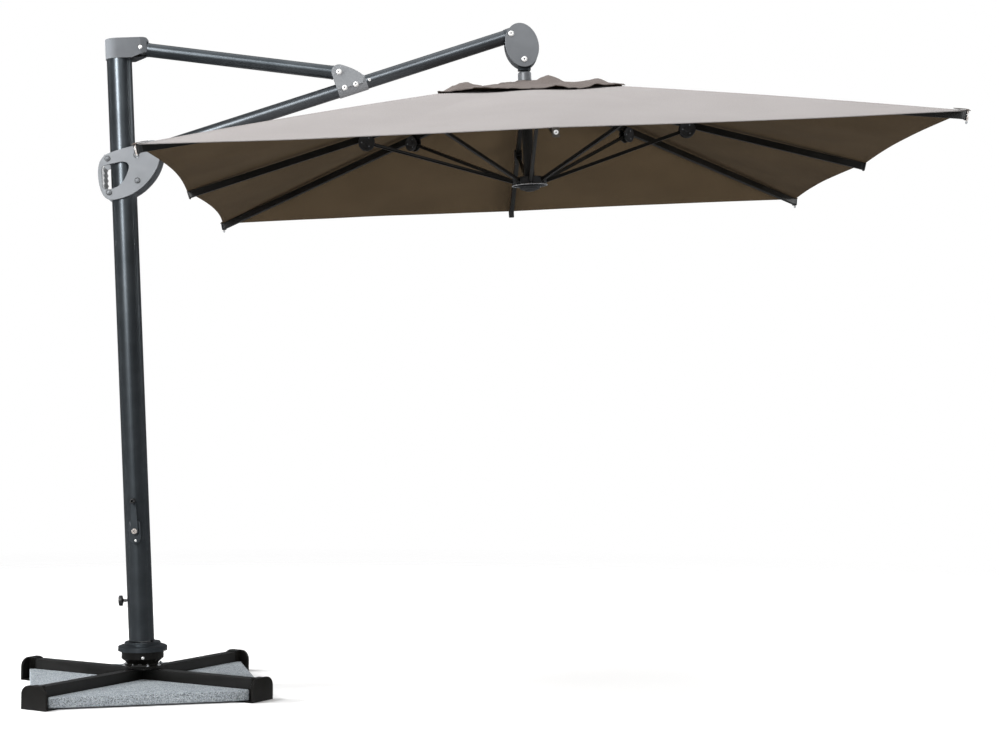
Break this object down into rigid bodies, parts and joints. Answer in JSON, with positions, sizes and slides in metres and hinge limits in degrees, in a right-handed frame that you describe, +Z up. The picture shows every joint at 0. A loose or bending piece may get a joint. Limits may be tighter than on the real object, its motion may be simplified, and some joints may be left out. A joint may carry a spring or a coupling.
{
  "type": "cantilever parasol",
  "caption": "Square cantilever parasol on a leaning swivel mast with crank, slider, link and main arm, over a cross base weighted with triangular stone slabs.",
  "frame": {"origin": "on the floor under the middle of the base, at the underside of the centre foot", "axes": "+X from the mast towards the canopy, in the plane of the arms; +Z up"},
  "size_m": [3.7689, 3.0081, 2.9074],
  "materials": {
    "graphite_paint": "powder-coated graphite aluminium, satin",
    "grey_casting": "painted mid-grey die-cast aluminium, satin",
    "black_frame": "black powder coat, satin",
    "granite": "speckled blue-grey granite, honed",
    "bright_steel": "zinc-plated steel",
    "black_plastic": "moulded black nylon, fine grain",
    "grip_plastic": "moulded light grey grip",
    "canopy_fabric": "woven taupe polyester, matt"
  },
  "bodies": {
    "base": {"base_bar_through": "black_frame", "base_bar_notched": "black_frame", "end_cap_front_left": "black_frame", "end_cap_front_right": "black_frame", "end_cap_back_right": "black_frame", "end_cap_back_left": "black_frame", "stone_slab_front": "granite", "stone_slab_right": "granite", "stone_slab_back": "granite", "stone_slab_left": "granite", "base_plate": "black_frame", "swivel_socket": "black_frame", "bearing_bush": "black_plastic", "base_spigot": "bright_steel"},
    "mast": {"swivel_cover": "black_frame", "mast_tube": "graphite_paint", "mast_head": "black_frame", "head_cap": "grey_casting", "head_bolt": "bright_steel", "crank_housing": "graphite_paint"},
    "brake_pedal": {"brake_pedal": "black_frame"},
    "clamp_knob": {"clamp_knob": "black_plastic"},
    "crank": {"crank_arm": "graphite_paint", "crank_drum": "bright_steel"},
    "crank_knob": {"crank_knob": "black_plastic"},
    "link": {"link_tube": "graphite_paint", "link_head_end": "graphite_paint"},
    "arm": {"arm_tube": "graphite_paint", "arm_foot": "graphite_paint", "arm_bracket": "graphite_paint", "arm_head": "graphite_paint", "disc_front": "grey_casting", "disc_rear": "grey_casting"},
    "slider": {"slider_plate_front": "grey_casting", "slider_plate_rear": "grey_casting", "slider_sleeve": "black_plastic", "slider_grip": "grip_plastic"},
    "hanger": {"hanger_neck": "grey_casting"},
    "canopy": {"tilt_yoke": "grey_casting", "canopy_shaft": "black_frame", "crown_hub": "black_plastic", "canopy_cloth": "canopy_fabric", "vent_cap": "canopy_fabric"},
    "runner": {"runner_hub": "black_plastic"},
    "rib_right_mid": {"rib_right_mid": "black_frame"},
    "strut_right_mid": {"strut_right_mid": "black_frame"},
    "rib_back_right": {"rib_back_right": "black_frame"},
    "strut_back_right": {"strut_back_right": "black_frame"},
    "rib_back_mid": {"rib_back_mid": "black_frame"},
    "strut_back_mid": {"strut_back_mid": "black_frame"},
    "rib_back_left": {"rib_back_left": "black_frame"},
    "strut_back_left": {"strut_back_left": "black_frame"},
    "rib_left_mid": {"rib_left_mid": "black_frame"},
    "strut_left_mid": {"strut_left_mid": "black_frame"},
    "rib_front_left": {"rib_front_left": "black_frame"},
    "strut_front_left": {"strut_front_left": "black_frame"},
    "rib_front_mid": {"rib_front_mid": "black_frame"},
    "strut_front_mid": {"strut_front_mid": "black_frame"},
    "rib_front_right": {"rib_front_right": "black_frame"},
    "strut_front_right": {"strut_front_right": "black_frame"}
  },
  "joints": [
    {"name": "mast_turn", "type": "hinge", "parent": "base", "child": "mast", "pos_m": [0, 0, 0.2], "axis": [0, 0, 1], "continuous": true},
    {"name": "pedal_press", "type": "hinge", "parent": "base", "child": "brake_pedal", "pos_m": [0, -0.069, 0.1145], "axis": [1, 0, 0], "range_deg": [0, 10], "stiffness_Nm_per_rad": 2, "springref_deg": -8.59},
    {"name": "clamp_turn", "type": "hinge", "parent": "mast", "child": "clamp_knob", "pos_m": [-0.07217, 0, 0.38317], "axis": [-0.9991, 0, -0.0427], "continuous": true},
    {"name": "crank_turn", "type": "hinge", "parent": "mast", "child": "crank", "pos_m": [-0.02518, -0.07, 0.68846], "axis": [0, -1, 0], "continuous": true},
    {"name": "crank_knob_turn", "type": "hinge", "parent": "crank", "child": "crank_knob", "pos_m": [-0.03078, -0.09, 0.81934], "axis": [0, -1, 0], "continuous": true},
    {"name": "arm_fold", "type": "hinge", "parent": "mast", "child": "link", "pos_m": [-0.01474, 0, 2.78382], "axis": [0, 1, 0], "range_deg": [0, 57.92], "deforming": ["canopy_cloth", "vent_cap"]},
    {"name": "arm_swing", "type": "hinge", "parent": "link", "child": "arm", "pos_m": [0.84525, 0, 2.6855], "axis": [0, 1, 0], "range_deg": [-106.37, 0]},
    {"name": "slider_slide", "type": "slide", "parent": "mast", "child": "slider", "axis": [0.0427, 0, -0.9991], "range_m": [0, 1.1806]},
    {"name": "hanger_level", "type": "hinge", "parent": "arm", "child": "hanger", "pos_m": [1.65635, 0, 2.74722], "axis": [0, 1, 0], "range_deg": [0, 48.42]},
    {"name": "canopy_tilt", "type": "hinge", "parent": "hanger", "child": "canopy", "pos_m": [1.65913, 0, 2.68228], "axis": [0, -1, 0], "range_deg": [0, 15]},
    {"name": "runner_slide", "type": "slide", "parent": "canopy", "child": "runner", "axis": [0.0478, 0.0075, -0.9988], "range_m": [0, 0.9471]},
    {"name": "rib_right_mid_fold", "type": "hinge", "parent": "canopy", "child": "rib_right_mid", "pos_m": [1.72198, 0.00046, 2.62422], "axis": [-0.0003, 1, 0.0075], "range_deg": [0, 70.36]},
    {"name": "strut_right_mid_fold", "type": "hinge", "parent": "rib_right_mid", "child": "strut_right_mid", "pos_m": [2.37911, 0.00198, 2.44893], "axis": [-0.0003, 1, 0.0075], "range_deg": [-141.07, 0]},
    {"name": "rib_back_right_fold", "type": "hinge", "parent": "canopy", "child": "rib_back_right", "pos_m": [1.70441, 0.04288, 2.6237], "axis": [-0.7065, 0.7071, -0.0285], "range_deg": [0, 74.94]},
    {"name": "strut_back_right_fold", "type": "hinge", "parent": "rib_back_right", "child": "strut_back_right", "pos_m": [2.16915, 0.50219, 2.49847], "axis": [-0.7065, 0.7071, -0.0285], "range_deg": [-141.36, 0]},
    {"name": "rib_back_mid_fold", "type": "hinge", "parent": "canopy", "child": "rib_back_mid", "pos_m": [1.66203, 0.06046, 2.62181], "axis": [-0.9989, 0, -0.0478], "range_deg": [0, 70.36]},
    {"name": "strut_back_mid_fold", "type": "hinge", "parent": "rib_back_mid", "child": "strut_back_mid", "pos_m": [1.67169, 0.70999, 2.42039], "axis": [-0.9989, 0, -0.0478], "range_deg": [-141.07, 0]},
    {"name": "rib_back_left_fold", "type": "hinge", "parent": "canopy", "child": "rib_back_left", "pos_m": [1.61966, 0.04288, 2.61965], "axis": [-0.7061, -0.7071, -0.0391], "range_deg": [0, 74.94]},
    {"name": "strut_back_left_fold", "type": "hinge", "parent": "rib_back_left", "child": "strut_back_left", "pos_m": [1.16903, 0.50223, 2.45061], "axis": [-0.7061, -0.7071, -0.0391], "range_deg": [-141.36, 0]},
    {"name": "rib_left_mid_fold", "type": "hinge", "parent": "canopy", "child": "rib_left_mid", "pos_m": [1.60211, 0.00046, 2.61849], "axis": [0.0003, -1, -0.0075], "range_deg": [0, 70.36]},
    {"name": "strut_left_mid_fold", "type": "hinge", "parent": "rib_left_mid", "child": "strut_left_mid", "pos_m": [0.96473, 0.00203, 2.38124], "axis": [0.0003, -1, -0.0075], "range_deg": [-141.07, 0]},
    {"name": "rib_front_left_fold", "type": "hinge", "parent": "canopy", "child": "rib_front_left", "pos_m": [1.61968, -0.04197, 2.61901], "axis": [0.7065, -0.7071, 0.0285], "range_deg": [0, 74.94]},
    {"name": "strut_front_left_fold", "type": "hinge", "parent": "rib_front_left", "child": "strut_front_left", "pos_m": [1.16935, -0.49901, 2.4431], "axis": [0.7065, -0.7071, 0.0285], "range_deg": [-141.36, 0]},
    {"name": "rib_front_mid_fold", "type": "hinge", "parent": "canopy", "child": "rib_front_mid", "pos_m": [1.66207, -0.05954, 2.62091], "axis": [0.9989, 0, 0.0478], "range_deg": [0, 70.36]},
    {"name": "strut_front_mid_fold", "type": "hinge", "parent": "rib_front_mid", "child": "strut_front_mid", "pos_m": [1.67214, -0.70597, 2.40977], "axis": [0.9989, 0, 0.0478], "range_deg": [-141.07, 0]},
    {"name": "rib_front_right_fold", "type": "hinge", "parent": "canopy", "child": "rib_front_right", "pos_m": [1.70444, -0.04197, 2.62307], "axis": [0.7061, 0.7071, 0.0391], "range_deg": [0, 74.94]},
    {"name": "strut_front_right_fold", "type": "hinge", "parent": "rib_front_right", "child": "strut_front_right", "pos_m": [2.16947, -0.49905, 2.49097], "axis": [0.7061, 0.7071, 0.0391], "range_deg": [-141.36, 0]}
  ],
  "couplings": [
    {"joint": "arm_swing", "follows": "arm_fold", "ratio": -1.8355},
    {"joint": "slider_slide", "follows": "arm_fold", "m_per_rad": 1.1672},
    {"joint": "hanger_level", "follows": "arm_fold", "ratio": 0.83548},
    {"joint": "runner_slide", "follows": "arm_fold", "m_per_rad": 0.93641},
    {"joint": "rib_right_mid_fold", "follows": "arm_fold", "ratio": 1.2141},
    {"joint": "strut_right_mid_fold", "follows": "arm_fold", "ratio": -2.4343},
    {"joint": "rib_back_right_fold", "follows": "arm_fold", "ratio": 1.2932},
    {"joint": "strut_back_right_fold", "follows": "arm_fold", "ratio": -2.4393},
    {"joint": "rib_back_mid_fold", "follows": "arm_fold", "ratio": 1.2141},
    {"joint": "strut_back_mid_fold", "follows": "arm_fold", "ratio": -2.4343},
    {"joint": "rib_back_left_fold", "follows": "arm_fold", "ratio": 1.2932},
    {"joint": "strut_back_left_fold", "follows": "arm_fold", "ratio": -2.4393},
    {"joint": "rib_left_mid_fold", "follows": "arm_fold", "ratio": 1.2141},
    {"joint": "strut_left_mid_fold", "follows": "arm_fold", "ratio": -2.4343},
    {"joint": "rib_front_left_fold", "follows": "arm_fold", "ratio": 1.2932},
    {"joint": "strut_front_left_fold", "follows": "arm_fold", "ratio": -2.4393},
    {"joint": "rib_front_mid_fold", "follows": "arm_fold", "ratio": 1.2141},
    {"joint": "strut_front_mid_fold", "follows": "arm_fold", "ratio": -2.4343},
    {"joint": "rib_front_right_fold", "follows": "arm_fold", "ratio": 1.2932},
    {"joint": "strut_front_right_fold", "follows": "arm_fold", "ratio": -2.4393}
  ]
}
